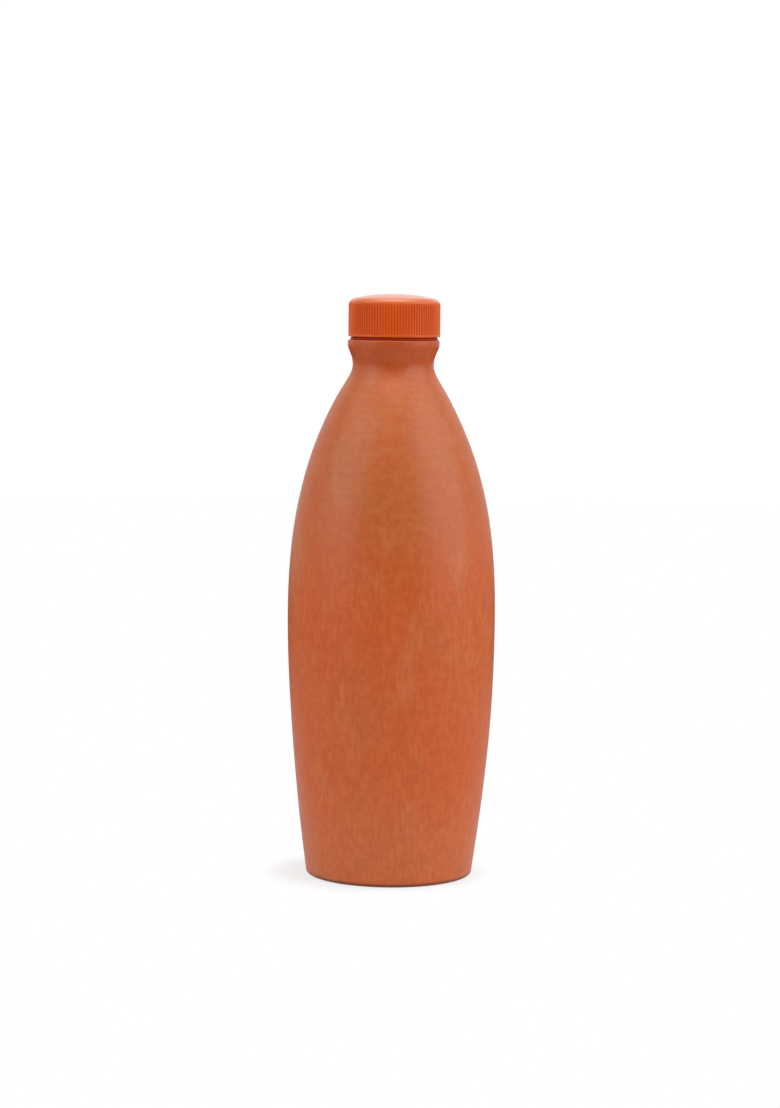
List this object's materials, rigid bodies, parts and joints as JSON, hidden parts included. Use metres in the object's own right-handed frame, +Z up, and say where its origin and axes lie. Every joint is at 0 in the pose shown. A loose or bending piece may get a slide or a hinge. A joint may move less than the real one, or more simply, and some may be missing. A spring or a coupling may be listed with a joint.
{
  "type": "clay water bottle",
  "caption": "Tall round terracotta water bottle with a full shoulder, a narrow throat and a plastic screw neck closed by a ribbed screw cap.",
  "frame": {"origin": "centre of the flat base, on the surface that the bottle stands on", "axes": "+Z up along the bottle's axis, from the base to the cap; X and Y are free, because the bottle is round"},
  "size_m": [0.1, 0.1, 0.2799],
  "materials": {
    "terracotta": "satin",
    "neck_plastic": "satin",
    "set_glue": "satin",
    "cap_plastic": "satin",
    "liner_foam": "matte"
  },
  "bodies": {
    "bottle": {"clay_body": "terracotta", "screw_neck": "neck_plastic", "neck_glue_ring": "set_glue"},
    "liner": {"cap_liner": "liner_foam"},
    "cap": {"screw_cap": "cap_plastic"}
  },
  "joints": [
    {"name": "cap_lift", "type": "slide", "parent": "bottle", "child": "liner", "axis": [0, 0, 1], "range_m": [0, 0.01681]},
    {"name": "cap_turn", "type": "hinge", "parent": "liner", "child": "cap", "pos_m": [0, 0, 0.26], "axis": [0, 0, 1], "range_deg": [0, 1440]}
  ],
  "couplings": [
    {"joint": "cap_lift", "follows": "cap_turn", "m_per_rad": 0.00066845}
  ]
}
